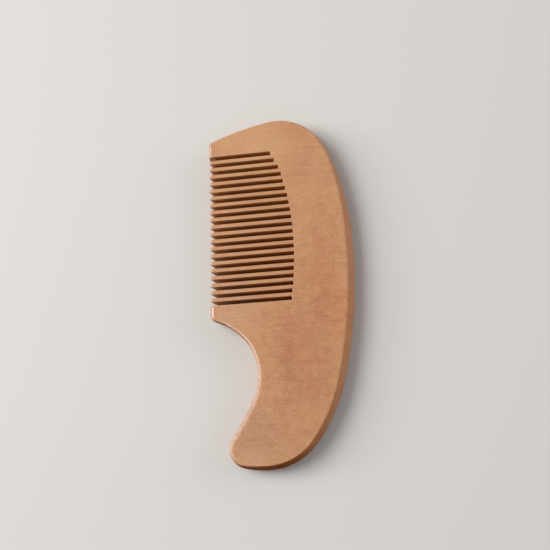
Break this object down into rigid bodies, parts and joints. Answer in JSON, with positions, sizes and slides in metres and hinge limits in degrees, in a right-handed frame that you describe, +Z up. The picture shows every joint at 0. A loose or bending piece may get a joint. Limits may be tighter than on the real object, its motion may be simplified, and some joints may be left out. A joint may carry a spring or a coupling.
{
  "type": "wooden comb with a hooked handle",
  "caption": "Flat one-piece wooden pocket comb: a row of straight sawn teeth between two guards, a rounded back and a short handle that hooks under a finger hollow.",
  "frame": {"origin": "middle of the comb's box, on the face that it lies on", "axes": "+Z up through the thickness, +Y along the comb away from the handle, +X from the tooth tips to the rounded back"},
  "size_m": [0.053, 0.127, 0.01],
  "materials": {
    "peach_wood": "satin, sanded and oiled"
  },
  "bodies": {
    "root": {"comb": "peach_wood"}
  },
  "joints": []
}
